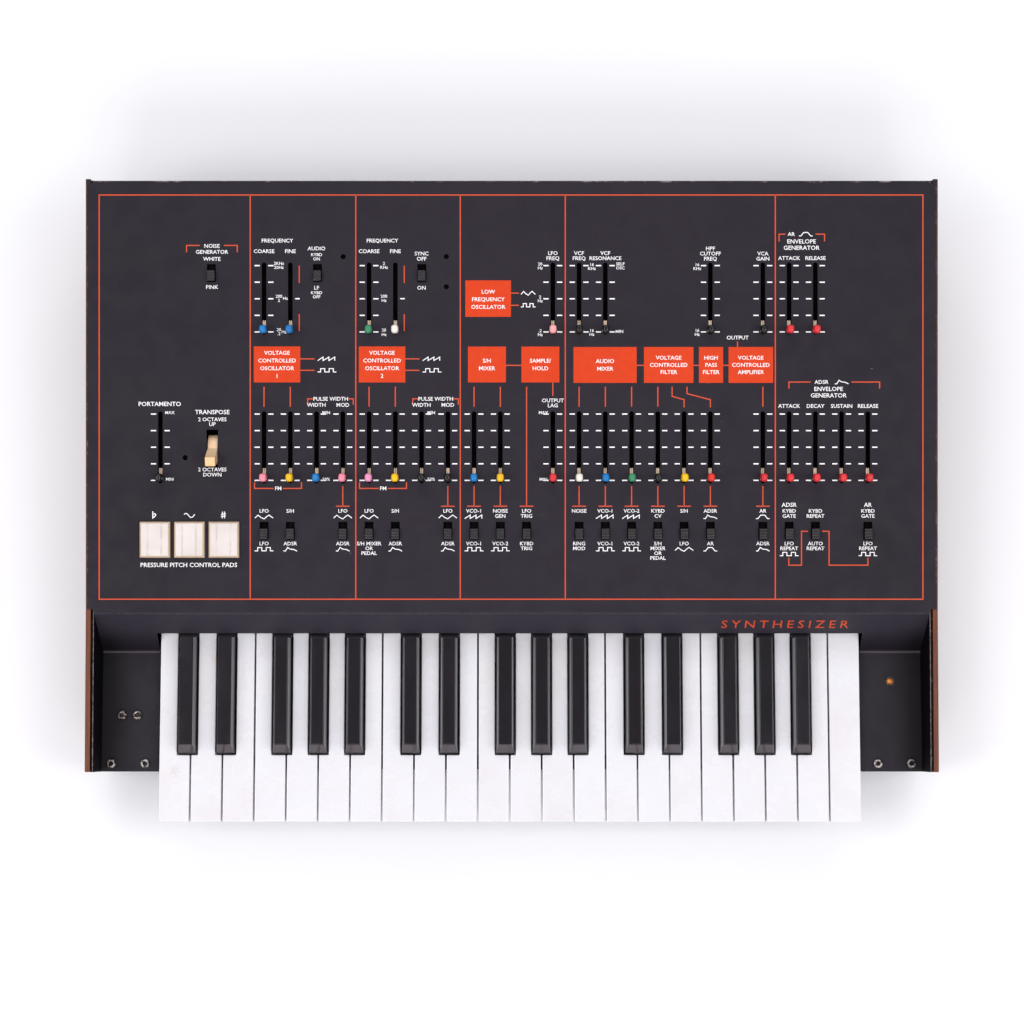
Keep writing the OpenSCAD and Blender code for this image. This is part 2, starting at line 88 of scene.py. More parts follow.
class Nodes:
    """A material's node tree, with short ways to add to it."""

    def __init__(self, name):
        self.material = bpy.data.materials.new(name)
        self.material.use_nodes = True
        self.tree = self.material.node_tree
        self.bsdf = self.tree.nodes["Principled BSDF"]
        self.place = self.add("ShaderNodeTexCoord").outputs["Object"]
        self.normal = None
        self.flat = None

    def add(self, kind, **values):
        node = self.tree.nodes.new(kind)
        for key, value in values.items():
            setattr(node, key, value)
        return node

    def link(self, value, socket):
        if isinstance(value, bpy.types.NodeSocket):
            self.tree.links.new(value, socket)
        else:
            socket.default_value = value

    def math(self, operation, a, b=0.0, clamp=False):
        node = self.add("ShaderNodeMath", operation=operation, use_clamp=clamp)
        self.link(a, node.inputs[0])
        self.link(b, node.inputs[1])
        return node.outputs[0]

    def part(self, axis, vector=None):
        node = self.add("ShaderNodeSeparateXYZ")
        self.link(self.place if vector is None else vector, node.inputs[0])
        return node.outputs["XYZ".index(axis)]

    def upward(self):
        """How far a surface faces up: 1 where it is level, 0 where it is upright."""
        return self.part("Z", self.add("ShaderNodeNewGeometry").outputs["Normal"])

    def away_from(self, x, y):
        """Distance from a place on the plan."""
        if self.flat is None:
            node = self.add("ShaderNodeCombineXYZ")
            self.link(self.part("X"), node.inputs[0])
            self.link(self.part("Y"), node.inputs[1])
            self.flat = node.outputs[0]
        away = self.add("ShaderNodeVectorMath", operation="DISTANCE")
        self.link(self.flat, away.inputs[0])
        away.inputs[1].default_value = (x, y, 0)
        return away.outputs["Value"]

    def scaled(self, x, y, z):
        node = self.add("ShaderNodeMapping")
        self.link(self.place, node.inputs["Vector"])
        node.inputs["Scale"].default_value = (x, y, z)
        return node.outputs[0]

    def noise(self, scale, detail=3.0, rough=0.55, vector=None, distort=0.0):
        node = self.add("ShaderNodeTexNoise")
        self.link(self.place if vector is None else vector, node.inputs["Vector"])
        node.inputs["Scale"].default_value = scale
        node.inputs["Detail"].default_value = detail
        node.inputs["Roughness"].default_value = rough
        node.inputs["Distortion"].default_value = distort
        return node.outputs["Fac"]

    def ramp(self, value, low, high, start=0.0, end=1.0):
        node = self.add("ShaderNodeMapRange", interpolation_type="SMOOTHSTEP")
        self.link(value, node.inputs["Value"])
        node.inputs["From Min"].default_value = low
        node.inputs["From Max"].default_value = high
        node.inputs["To Min"].default_value = start
        node.inputs["To Max"].default_value = end
        return node.outputs["Result"]

    def mix(self, share, a, b):
        node = self.add("ShaderNodeMix", data_type="RGBA")
        self.link(share, node.inputs["Factor"])
        self.link(a, node.inputs["A"])
        self.link(b, node.inputs["B"])
        return node.outputs["Result"]

    def near(self, value, centre, full, none):
        """1 where value is within full of centre, fading to 0 at none."""
        away = self.math("ABSOLUTE", self.math("SUBTRACT", value, centre))
        return self.ramp(away, full, none, 1.0, 0.0)

    def bump(self, height, distance, strength=1.0):
        node = self.add("ShaderNodeBump")
        node.inputs["Distance"].default_value = distance
        node.inputs["Strength"].default_value = strength
        self.link(height, node.inputs["Height"])
        if self.normal is not None:
            self.link(self.normal, node.inputs["Normal"])
        self.normal = node.outputs[0]

    def done(self, colour, rough, **values):
        self.link(colour, self.bsdf.inputs["Base Color"])
        self.link(rough, self.bsdf.inputs["Roughness"])
        if self.normal is not None:
            self.link(self.normal, self.bsdf.inputs["Normal"])
        for key, value in values.items():
            self.bsdf.inputs[key.replace("_", " ")].default_value = value
        return self.material


def shade_of(colour, factor):
    return tuple(c * factor for c in colour[:3]) + (1,)


def moulded(name, colour, rough=0.35, vary=0.14, grain=2500, depth=0.00002, dirt=0.0, **values):
    """Moulded plastic or rubber: cloudy colour, fine skin and a little dirt in patches."""
    n = Nodes(name)
    cloud = n.ramp(n.noise(55, 4), 0.35, 0.65)
    shade = n.mix(cloud, shade_of(colour, 1 - vary), shade_of(colour, 1 + vary * 0.6))
    if dirt:
        stain = n.math("MULTIPLY", n.ramp(n.noise(170, 6, 0.7), 0.55, 0.8), dirt)
        shade = n.mix(stain, shade, shade_of(colour, 0.45))
    n.bump(n.noise(grain, 2), depth)
    return n.done(shade, n.ramp(n.noise(130, 5), 0.3, 0.7, rough * 0.85, rough * 1.2), **values)


def metal(name, colour, rough=0.35, stretch=(1, 1, 1), **values):
    """Bare or plated steel with drawn streaks."""
    n = Nodes(name)
    streak = n.noise(900, 4, 0.6, n.scaled(*stretch))
    shade = n.mix(streak, shade_of(colour, 0.7), shade_of(colour, 1.2))
    spots = n.ramp(n.noise(300, 5, 0.7), 0.62, 0.75)
    shade = n.mix(spots, shade, shade_of(colour, 0.5))
    n.bump(streak, 0.00001)
    gloss = n.ramp(n.noise(160, 4), 0.3, 0.7, rough * 0.8, rough * 1.3)
    return n.done(shade, gloss, Metallic=1.0, **values)


PAINT = srgb(32, 25, 36)
# Inner corners of the walls' top edges
WALL_CORNER = 0.3036
SMUDGE = (0.265, y_edge + 0.047)
SMUDGE_RADIUS = 1 / 55


def speckled(n, colour):
    """Fine-textured satin paint: tiny light and dark grains over slow clouds."""
    cloud = n.ramp(n.noise(14, 4), 0.3, 0.7)
    shade = n.mix(cloud, shade_of(colour, 0.95), shade_of(colour, 1.05))
    grain = n.ramp(n.noise(1500, 2, 0.6), 0.5, 0.78)
    shade = n.mix(n.math("MULTIPLY", grain, 0.5), shade, shade_of(colour, 2.0))
    n.bump(n.noise(2200, 3, 0.6), 0.00004, 0.8)
    return shade


def panel_paint():
    n = Nodes("panel_paint")
    x, y, z = n.part("X"), n.part("Y"), n.part("Z")
    shade = speckled(n, PAINT)
    # The middle is a little paler than the two ends
    ends = n.ramp(n.math("ABSOLUTE", x), 0.06, 0.28)
    shade = n.mix(n.math("MULTIPLY", ends, 0.16), shade, srgb(10, 7, 12))
    # Painted light: the fascia, which faces the front, is made paler than the rest, for the stronger light
    # falling on it
    slanted = n.ramp(n.upward(), 0.75, 0.9, 1.0, 0.0)
    fascia_painted_light = n.math("MULTIPLY", slanted, n.ramp(z, z_shelf + 0.004, z_shelf + 0.03))
    shade = n.mix(n.math("MULTIPLY", fascia_painted_light, 0.6), shade, srgb(58, 53, 64))
    # Pale bare-metal colour, used both for wear and for painted highlights
    bare_metal_and_highlight = srgb(150, 138, 142)
    # Pale line along the bend at the panel's front edge, and dents where it has been knocked: partly worn
    # paint, partly a painted highlight where the bend catches the light
    on_bend = n.near(y, y_edge - 0.0004, 0.0003, 0.0010)
    high = n.ramp(z, z_edge - 0.004, z_edge - 0.002)
    worn_and_lit = n.ramp(n.noise(900, 5, 0.75), 0.44, 0.7)
    wear_and_highlights = n.math("MULTIPLY", n.math("MULTIPLY", on_bend, high), n.math("MULTIPLY", worn_and_lit, 0.22))
    # Painted highlight along the fold between the fascia and the shelf
    low = n.ramp(z, z_shelf + 0.0005, z_shelf + 0.002, 1.0, 0.0)
    fold_highlight = n.near(y, y_fold, 0.0004, 0.0012)
    wear_and_highlights = n.math("MAXIMUM", wear_and_highlights, n.math("MULTIPLY", n.math("MULTIPLY", fold_highlight, low), 0.2))
    # Chips along the back edge
    y_top = panel_high.y
    at_back = n.math("MULTIPLY", n.near(y, y_top, 0.0006, 0.0022),
                     n.ramp(z, panel_high.z - 0.0032, panel_high.z - 0.0012))
    chips = n.ramp(n.noise(110, 7, 0.8), 0.55, 0.6)
    wear_and_highlights = n.math("MAXIMUM", wear_and_highlights, n.math("MULTIPLY", n.math("MULTIPLY", at_back, chips), 0.9))
    # Chips along the left and right edges
    at_side = n.near(n.math("ABSOLUTE", x), panel_high.x, 0.0003, 0.0011)
    wear_and_highlights = n.math("MAXIMUM", wear_and_highlights, n.math("MULTIPLY", n.math("MULTIPLY", at_side, chips), 0.3))
    # Painted shade: the fascia and the shelves darken towards the side walls, where the walls' shadow
    # falls
    below = n.ramp(z, z_shelf + 0.004, z_shelf + 0.034, 1.0, 0.0)
    grime_and_shade = n.math("MULTIPLY", n.ramp(n.math("ABSOLUTE", x), 0.276, 0.3035), below)
    shade = n.mix(n.math("MULTIPLY", grime_and_shade, 0.9), shade, srgb(9, 5, 8))
    # A few small specks
    dots = n.ramp(n.noise(300, 1, 0.4), 0.845, 0.86)
    wear_and_highlights = n.math("MAXIMUM", wear_and_highlights, n.math("MULTIPLY", dots, 0.5))
    # Wear and painted highlights turn the paint pale
    shade = n.mix(wear_and_highlights, shade, bare_metal_and_highlight)
    # A dark greasy smudge near the front right corner
    reach = n.math("POWER", n.math("DIVIDE", n.away_from(*SMUDGE), SMUDGE_RADIUS), 2.0)
    smudge = n.math("MULTIPLY", n.ramp(reach, 0.0, 1.0, 1.0, 0.0), n.noise(180, 4))
    shade = n.mix(n.math("MULTIPLY", smudge, 0.7, True), shade, shade_of(PAINT, 0.45))
    return n.done(shade, n.ramp(n.noise(60, 4), 0.3, 0.7, 0.52, 0.66), Specular_IOR_Level=0.25)


def case_paint():
    n = Nodes("case_paint")
    shade = speckled(n, srgb(9, 6, 10))
    x, z = n.part("X"), n.part("Z")
    # The walls' top edges are chipped to bare metal, most of all along their inner corner
    edge = n.math("MULTIPLY", n.ramp(n.upward(), 0.8, 0.95), n.ramp(z, z_shelf + 0.030, z_shelf + 0.034))
    corner = n.near(n.math("ABSOLUTE", x), WALL_CORNER, 0.0002, 0.0006)
    line_wear = n.math("MULTIPLY", corner, n.ramp(n.noise(240, 5, 0.75), 0.36, 0.62, 0.25, 1.0))
    chips = n.math("MAXIMUM", n.ramp(n.noise(520, 6, 0.8), 0.6, 0.68), line_wear)
    shade = n.mix(n.math("MULTIPLY", edge, n.math("MULTIPLY", chips, 0.8)), shade, srgb(150, 140, 142))
    return n.done(shade, n.ramp(n.noise(80, 4), 0.3, 0.7, 0.6, 0.75), Specular_IOR_Level=0.06)


def side_wood():
    n = Nodes("side_wood")
    grain = n.noise(1.0, 7, 0.65, n.scaled(900, 22, 420), 0.6)
    pores = n.ramp(n.noise(1.0, 3, 0.6, n.scaled(2600, 90, 1500)), 0.55, 0.75)
    broad = n.ramp(n.noise(1.0, 3, 0.5, n.scaled(60, 9, 50)), 0.3, 0.7)
    shade = n.mix(n.ramp(grain, 0.3, 0.7), srgb(82, 38, 18), srgb(130, 70, 38))
    shade = n.mix(n.math("MULTIPLY", broad, 0.45), shade, srgb(92, 50, 36))
    shade = n.mix(n.math("MULTIPLY", pores, 0.6), shade, srgb(52, 24, 15))
    # Dark, knocked end grain at the back corners
    shade = n.mix(n.ramp(n.part("Y"), panel_high.y - 0.004, panel_high.y - 0.001), shade, srgb(24, 17, 18))
    n.bump(pores, 0.00008, -0.6)
    n.bump(grain, 0.00003)
    return n.done(shade, n.ramp(grain, 0.3, 0.7, 0.42, 0.58), Specular_IOR_Level=0.35)


# Brown specks on the first key's front and a yellow stain between the first two black keys:
# x, y, radius, colour and strength
STAINS = (
    (-0.2480, y_front + 0.0005, 0.0060, srgb(170, 128, 104), 0.7),
    (-0.2185, y_front + 0.0830, 0.0050, srgb(226, 196, 160), 0.45),
)


def ivory(name, seed):
    """Glossy white key plastic: faint yellowing, smears and hairline scratches."""
    n = Nodes(name)
    moved = n.add("ShaderNodeVectorMath", operation="ADD")
    n.link(n.place, moved.inputs[0])
    moved.inputs[1].default_value = (seed * 0.37, seed * 0.11, 0)
    place = moved.outputs[0]
    old = n.ramp(n.noise(16, 5, 0.6, place), 0.38, 0.72)
    shade = n.mix(n.math("MULTIPLY", old, 0.6), srgb(226, 224, 230), srgb(219, 213, 215))
    spots = n.ramp(n.noise(120, 6, 0.75, place), 0.69, 0.76)
    shade = n.mix(n.math("MULTIPLY", spots, 0.35), shade, srgb(205, 182, 165))
    for x, y, reach, tint, depth in STAINS:
        close = n.ramp(n.away_from(x, y), reach * 0.3, reach, 1.0, 0.0)
        blots = n.ramp(n.noise(1300, 3, 0.7), 0.5, 0.66) if depth > 0.5 else n.noise(200, 3)
        shade = n.mix(n.math("MULTIPLY", close, n.math("MULTIPLY", blots, depth)), shade, tint)
    stretched = n.add("ShaderNodeMapping")
    n.link(place, stretched.inputs["Vector"])
    stretched.inputs["Scale"].default_value = (1400, 60, 1)
    lines = n.ramp(n.noise(1.0, 2, 0.5, stretched.outputs[0]), 0.62, 0.72)
    n.bump(lines, 0.000006, -0.5)
    return n.done(shade, n.ramp(n.noise(45, 5, 0.6, place), 0.3, 0.7, 0.2, 0.34), Coat_Weight=0.15)


def ebony():
    """Glossy black key plastic with finger smears."""
    n = Nodes("black_keys")
    smear = n.ramp(n.noise(60, 5, 0.6, n.scaled(1, 0.35, 1)), 0.35, 0.7)
    shade = n.mix(smear, srgb(13, 6, 15), srgb(19, 11, 22))
    # Painted reflection: the sloping fronts are made paler, for the light they reflect
    front = n.ramp(n.part("Y"), y_front + 0.0190, y_front + 0.0205, 1.0, 0.0)
    shade = n.mix(n.math("MULTIPLY", front, 0.8), shade, srgb(76, 68, 72))
    n.bump(n.noise(900, 3), 0.000006)
    return n.done(shade, n.ramp(smear, 0.0, 1.0, 0.15, 0.2), Specular_IOR_Level=0.42)


# Middles of the three pitch pads, and how far from them the bands run
PAD_X = (-258.7, -233.7, -208.7)
PAD_BAND = 5


def pad_plastic():
    """Translucent cream pad: two faint upright bands, tan sides that darken its edges, and old dirt in
    patches.
    """
    n = Nodes("pad_plastic")
    x = n.part("X")
    shade = n.mix(n.ramp(n.noise(40, 4), 0.3, 0.7), srgb(213, 202, 197), srgb(223, 214, 211))
    for centre in PAD_X:
        for side in (-PAD_BAND, PAD_BAND):
            band = n.near(x, (centre + side) * MM, 0.0002, 0.0011)
            broken = n.ramp(n.noise(90, 4, 0.6), 0.35, 0.62)
            share = n.math("MULTIPLY", n.math("MULTIPLY", band, broken), 0.6)
            shade = n.mix(share, shade, srgb(196, 168, 158))
    rim = n.ramp(n.upward(), 0.75, 0.97, 1.0, 0.0)
    shade = n.mix(n.math("MULTIPLY", rim, 0.8), shade, srgb(203, 174, 140))
    dirt = n.ramp(n.noise(260, 6, 0.8), 0.66, 0.74)
    shade = n.mix(n.math("MULTIPLY", dirt, 0.25), shade, srgb(160, 130, 110))
    n.bump(n.noise(1200, 2), 0.00001)
    return n.done(
        shade,
        n.ramp(n.noise(70, 3), 0.3, 0.7, 0.3, 0.42),
        Subsurface_Weight=0.15,
        Subsurface_Radius=(0.004, 0.003, 0.002),
        Subsurface_Scale=0.6,
    )


def lever_plastic():
    n = Nodes("lever_plastic")
    y = n.part("Y")
    tip = n.ramp(y, y_edge + 0.104, y_edge + 0.118, 1.0, 0.0)
    shade = n.mix(n.ramp(n.noise(70, 5, 0.6), 0.3, 0.7), srgb(232, 192, 152), srgb(246, 216, 178))
    shade = n.mix(n.math("MULTIPLY", tip, 0.8), shade, srgb(237, 192, 134))
    grime_and_shade = n.ramp(n.noise(320, 6, 0.75), 0.58, 0.7)
    shade = n.mix(n.math("MULTIPLY", grime_and_shade, 0.3), shade, srgb(120, 92, 66))
    n.bump(n.noise(1400, 3), 0.00001)
    return n.done(shade, n.ramp(n.noise(90, 3), 0.3, 0.7, 0.32, 0.5))


def ink(name, colour, chipped):
    """Screen-printed ink, slightly uneven, with small worn-off places."""
    n = Nodes(name)
    shade = n.mix(n.ramp(n.noise(220, 4), 0.3, 0.7), shade_of(colour, 0.93), colour)
    gone = n.ramp(n.noise(340, 6, 0.8), chipped, chipped + 0.03)
    shade = n.mix(n.math("MULTIPLY", gone, 0.85), shade, PAINT)
    n.bump(n.noise(2600, 2), 0.00001)
    return n.done(shade, n.ramp(n.noise(150, 3), 0.3, 0.7, 0.5, 0.65), Specular_IOR_Level=0.25)


LIGHT_AT = (0.2803, y_front + 0.0665)


def amber_lens():
    n = Nodes("amber_light")
    spot = n.ramp(n.noise(420, 4, 0.6), 0.35, 0.7)
    shade = n.mix(spot, srgb(150, 78, 12), srgb(226, 142, 36))
    # The holder around the lens is black
    shade = n.mix(n.ramp(n.away_from(*LIGHT_AT), 0.0020, 0.0026), shade, srgb(10, 8, 9))
    n.bump(n.noise(700, 2), 0.00004)
    n.link(shade, n.bsdf.inputs["Emission Color"])
    return n.done(shade, n.ramp(spot, 0, 1, 0.12, 0.22), Emission_Strength=0.12, Coat_Weight=0.6)


def board_green():
    n = Nodes("board")
    tracks = n.ramp(n.noise(1.0, 2, 0.5, n.scaled(500, 90, 90)), 0.5, 0.54)
    shade = n.mix(tracks, srgb(30, 74, 40), srgb(46, 104, 56))
    pads = n.ramp(n.noise(380, 1, 0.3), 0.74, 0.76)
    shade = n.mix(pads, shade, srgb(176, 150, 92))
    n.bump(tracks, 0.00004)
    return n.done(shade, n.ramp(n.noise(90, 3), 0.3, 0.7, 0.28, 0.42))


def floor_paper():
    n = Nodes("floor")
    shade = n.mix(n.ramp(n.noise(3, 5, 0.5), 0.3, 0.7), (0.91, 0.905, 0.94, 1), (0.93, 0.925, 0.955, 1))
    n.bump(n.noise(900, 3), 0.00003)
    return n.done(shade, n.ramp(n.noise(12, 3), 0.3, 0.7, 0.75, 0.85), Specular_IOR_Level=0.15)


CAPS = {
    "blue": moulded("cap_blue", srgb(0, 120, 192), 0.36, dirt=0.25),
    "green": moulded("cap_green", srgb(48, 138, 98), 0.38, dirt=0.25),
    "white": moulded("cap_white", srgb(238, 230, 222), 0.38, 0.06, dirt=0.2),
    "salmon": moulded("cap_salmon", srgb(246, 166, 168), 0.36, 0.1, dirt=0.2),
    "black": moulded("cap_black", srgb(12, 10, 13), 0.22),
    "red": moulded("cap_red", srgb(216, 42, 50), 0.36, dirt=0.25),
    "pink": moulded("cap_pink", srgb(248, 140, 160), 0.36, 0.1, dirt=0.2),
    "yellow": moulded("cap_yellow", srgb(246, 190, 2), 0.36, 0.1, dirt=0.25),
    "magenta": moulded("cap_magenta", srgb(248, 152, 196), 0.36, 0.1, dirt=0.2),
    "orange": moulded("cap_orange", srgb(222, 42, 34), 0.36, dirt=0.25),
}
CARRIAGE = moulded("carriage", srgb(226, 202, 176), 0.4, 0.25, dirt=0.5)
BLACK = moulded("black_plastic", srgb(24, 22, 26), 0.42, 0.2, dirt=0.3)
KNOB = moulded("switch_knob", srgb(22, 18, 24), 0.4, 0.2, dirt=0.3)
IVORY = [ivory("white_keys_" + str(k), k) for k in range(4)]
EBONY = ebony()
PAD = pad_plastic()
# Two screws on the left shelf, and four along the shelves' front edges
SHELF_SCREWS = [(-0.2885, y_front + 0.0415), (-0.2773, y_front + 0.0415)]
SHELF_SCREWS += [(x, y_front + 0.006) for x in (-0.296, -0.271, 0.2706, 0.2952)]


def screw_steel():
    """Black-plated screws with a painted highlight around the rim, broken into patches, and sockets
    painted dark for their shade, with a little rust.
    """
    n = Nodes("screw_steel")
    nearest = 1.0
    for place in SHELF_SCREWS:
        nearest = n.math("MINIMUM", nearest, n.away_from(*place))
    rim_noise = n.ramp(n.noise(420, 5, 0.7), 0.42, 0.6)
    # Painted highlight: a bright ring around each screw's rim, broken into patches
    rim = n.near(nearest, 0.0025, 0.0004, 0.0011)
    shade = n.mix(n.math("MULTIPLY", rim, rim_noise), srgb(34, 29, 32), srgb(196, 188, 186))
    rust = n.ramp(n.noise(300, 4, 0.6), 0.45, 0.65)
    # Painted shade in the hex sockets, mixed with real rust
    socket = n.ramp(nearest, 0.0014, 0.0019, 1.0, 0.0)
    shade = n.mix(socket, shade, n.mix(rust, srgb(10, 8, 9), srgb(66, 36, 30)))
    n.bump(rim_noise, 0.00003)
    return n.done(shade, n.ramp(n.noise(260, 4), 0.3, 0.7, 0.25, 0.45), Metallic=0.6)


STEEL = screw_steel()


# ---- CAD nodes that stay ----

def dress(node, material):
    obj = NODES[node]
    if not obj.material_slots:
        obj.data.materials.append(material)
    for slot in obj.material_slots:
        slot.material = material
    return obj


def soften(node, width, segments=2, angle=30.0):
    """Welds the CAD mesh's split corners, joins its flat triangles and rounds its sharp edges."""
    obj = NODES[node]
    weld = obj.modifiers.new("weld", "WELD")
    weld.merge_threshold = 0.000005
    flat = obj.modifiers.new("flat", "DECIMATE")
    flat.decimate_type = "DISSOLVE"
    flat.angle_limit = math.radians(0.6)
    bevel = obj.modifiers.new("bevel", "BEVEL")
    bevel.width = width * MM
    bevel.segments = segments
    bevel.limit_method = "ANGLE"
    bevel.angle_limit = math.radians(angle)
    bevel.harden_normals = False


dress("top_panel", panel_paint())
dress("bottom_case", case_paint())
dress("wood_sides", side_wood())
soften("wood_sides", 0.6, 3)
dress("key_frame", metal("frame_steel", srgb(168, 170, 174), 0.38, (0.1, 1, 1)))
dress("key_springs", metal("spring_steel", srgb(190, 192, 196), 0.3))
dress("circuit_boards", board_green())
# Painted shade: the housings are near-black with little shine, darker than the other black plastic, so the
# switch windows read as shaded
dress("control_housings", moulded("housing", srgb(5, 4, 6), 0.8, 0.25, Specular_IOR_Level=0.1))
dress("rear_sockets", moulded("socket_plastic", srgb(40, 40, 44), 0.4, dirt=0.2))
soften("rear_sockets", 0.3)
dress("feet", moulded("foot_rubber", srgb(24, 24, 26), 0.75, 0.2, 900, 0.00008, 0.4))
soften("feet", 0.8)
dress("screws", STEEL)
soften("screws", 0.2)
dress("power_light", amber_lens())
dress("power_switch", BLACK)
soften("power_switch", 0.5)
dress("function_switches", KNOB)
soften("function_switches", 0.25)
dress("transpose_lever", lever_plastic())
soften("transpose_lever", 0.5, 3)
for pad in ("flat_pad", "vibrato_pad", "sharp_pad"):
    dress(pad, PAD)
    soften(pad, 0.5, 3, 20)
for i in range(1, 23):
    name = "white_key_%02d" % i
    dress(name, IVORY[(i * 5 + i // 3) % len(IVORY)])
    soften(name, 0.8, 3)
for i in range(1, 16):
    name = "black_key_%02d" % i
    dress(name, EBONY)
    soften(name, 0.9, 3, 12)


# ---- Pieces made here ----

class Solids:
    """Collects closed solids in millimetres and makes one object of them."""

    def __init__(self):
        self.bm = bmesh.new()

    def rings(self, rings, material=0):
        """A closed skin through rings of equal length, with flat ends."""
        made = [[self.bm.verts.new(p) for p in ring] for ring in rings]
        faces = [self.bm.faces.new(made[0][::-1]), self.bm.faces.new(made[-1])]
        for low, high in zip(made, made[1:]):
            for k in range(len(low)):
                j = (k + 1) % len(low)
                faces.append(self.bm.faces.new((low[k], low[j], high[j], high[k])))
        for face in faces:
            face.material_index = material

    def prism(self, points, low, high, material=0):
        self.rings([[(x, v, w) for x, v in points] for w in (low, high)], material)

    def slab(self, x0, v0, x1, v1, low, high, material=0):
        self.prism([(x0, v0), (x1, v0), (x1, v1), (x0, v1)], low, high, material)

    def ribbon(self, line, width, low, high, closed=False):
        """A strip of even width along a line, mitred at its corners."""
        line = [Vector(p) for p in line]
        last = len(line) - 1
        rows = []
        for i, p in enumerate(line):
            before = line[i - 1] if i or closed else None
            after = line[(i + 1) % len(line)] if i < last or closed else None
            a = (p - before).normalized() if before else (after - p).normalized()
            b = (after - p).normalized() if after else a
            across = Vector((-(a + b).y, (a + b).x)).normalized()
            reach = width / 2 / max(0.4, across.dot(Vector((-a.y, a.x))))
            l, r = p + across * reach, p - across * reach
            rows.append([(l.x, l.y, low), (r.x, r.y, low), (r.x, r.y, high), (l.x, l.y, high)])
        if not closed:
            self.rings(rows)
            return
        made = [[self.bm.verts.new(c) for c in row] for row in rows]
        for i in range(len(made)):
            now, then = made[i], made[(i + 1) % len(made)]
            for k in range(4):
                j = (k + 1) % 4
                self.bm.faces.new((now[k], now[j], then[j], then[k]))

    def piece(self, name, materials, body, node=None, place=PANEL, smooth=None):
        bmesh.ops.recalc_face_normals(self.bm, faces=self.bm.faces)
        mesh = bpy.data.meshes.new(name)
        self.bm.to_mesh(mesh)
        self.bm.free()
        mesh.transform(place)
        for material in materials:
            mesh.materials.append(material)
        if smooth is not None:
            for polygon in mesh.polygons:
                polygon.use_smooth = True
            mesh.set_sharp_from_angle(angle=math.radians(smooth))
        obj = bpy.data.objects.new(name, mesh)
        bpy.context.scene.collection.objects.link(obj)
        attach(obj, body)
        if node:
            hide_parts(node)
        return obj


def oval(w, rx, rv, cx=0.0, cv=0.0, count=20, power=3.0):
    """One level of a rounded-rectangle tower."""
    ring = []
    for k in range(count):
        a = 2 * math.pi * k / count
        c, s = math.cos(a), math.sin(a)
        x = math.copysign(abs(c) ** (2 / power), c) * rx
        v = math.copysign(abs(s) ** (2 / power), s) * rv
        ring.append((cx + x, cv + v, w))
    return ring


def slider(solids, x, v, colour):
    """Cap with a domed, ridged top, on a stem that stands in a slotted tan plastic carriage."""
    rest = v - TRAVEL / 2
    levels = [(3.0, 2.1, 2.4), (3.4, 2.45, 2.8), (5.0, 2.6, 3.0), (9.5, 2.6, 3.05), (11.2, 2.45, 2.9)]
    levels += [(12.1, 2.1, 2.5), (12.6, 1.5, 1.9), (12.8, 0.8, 1.1)]
    solids.rings([oval(w, rx, rv, x, rest) for w, rx, rv in levels], colour)
    for ridge in (-1.3, 0.0, 1.3):
        top = 12.75 if ridge == 0.0 else 12.55
        bar = [(top - 1.0, 1.35, 0.26), (top + 0.1, 1.35, 0.26), (top + 0.25, 1.1, 0.12)]
        solids.rings([oval(w, rx, rv, x, rest + ridge, 12) for w, rx, rv in bar], colour)
    solids.rings([oval(w, 1.15, 1.45, x, rest, 12, 4.0) for w in (-2.5, 3.4)], 1)
    for side in (-0.72, 0.72):
        leaf = [(-7.0, 0.6, 4.4), (-2.4, 0.6, 4.4), (-1.95, 0.45, 4.2)]
        solids.rings([oval(w, rx, rv, x + side, rest + 2.8, 12, 6.0) for w, rx, rv in leaf], 1)
    solids.slab(x - 0.9, rest - 1.2, x + 0.9, rest + 6.6, -6.8, -2.6, 1)


# Cap colours of the rear and the front row, by column
REAR_CAPS = {0: "blue", 1: "blue", 4: "green", 5: "white", 11: "salmon", 12: "black", 13: "black",
             17: "black", 19: "black", 20: "red", 21: "red"}
FRONT_CAPS = {0: "pink", 1: "yellow", 2: "blue", 3: "pink", 4: "magenta", 5: "yellow", 6: "black",
              7: "black", 8: "blue", 9: "yellow", 11: "red", 12: "white", 13: "blue", 14: "green",
              15: "black", 16: "yellow", 17: "orange",
              19: "red", 20: "red", 21: "red", 22: "red", 23: "red"}
# The rear row's caps sit this much nearer the player than the CAD's
REAR_CAP_SHIFT = 0.8
SECTIONS = {"osc1_sliders": (0, 3), "osc2_sliders": (4, 7), "lfo_sliders": (8, 11),
            "filter_sliders": (12, 18), "envelope_sliders": (19, 23)}
# The carriage is the second material, between the first cap colour and the others
cap_names = list(CAPS)
cap_materials = [CAPS[cap_names[0]], CARRIAGE] + [CAPS[c] for c in cap_names[1:]]
cap_index = {c: (0 if k == 0 else k + 1) for k, c in enumerate(cap_names)}

for node, (low, high) in SECTIONS.items():
    solids = Solids()
    for caps, v in ((REAR_CAPS, REAR_V - REAR_CAP_SHIFT), (FRONT_CAPS, FRONT_V)):
        for n, colour in caps.items():
            if low <= n <= high:
                slider(solids, column_x(n), v, cap_index[colour])
    solids.piece(node + "_caps", cap_materials, node, node, smooth=35)
solids = Solids()
slider(solids, GLIDE_X, FRONT_V, cap_index["black"])
solids.piece("glide_slider_cap", cap_materials, "glide_slider", "glide_slider", smooth=35)


# ---- Printing on the panel ----

# Ink heights over the panel, line widths, and letter heights
UNDER, ORANGE_TOP, WHITE_TOP = -0.02, 0.05, 0.09
LINE, THIN, STROKE = 0.85, 0.8, 0.62
LARGE, MEDIUM, SMALL = 3.1, 2.7, 2.15
BOX_TYPE, SWITCH_TYPE = 2.8, 2.6
# Marks beside a slide control: half the gap between a pair, and half a mark's length and thickness
TICK_STEP = 12.03
TICK_OUT, TICK_HALF, TICK_THICK = 4.95, 1.9, 0.45
# Where a lead from a control starts and ends
LEAD_TOP, LEAD_FOOT = 92, 77.3

orange = Solids()
white = Solids()
text_jobs = []


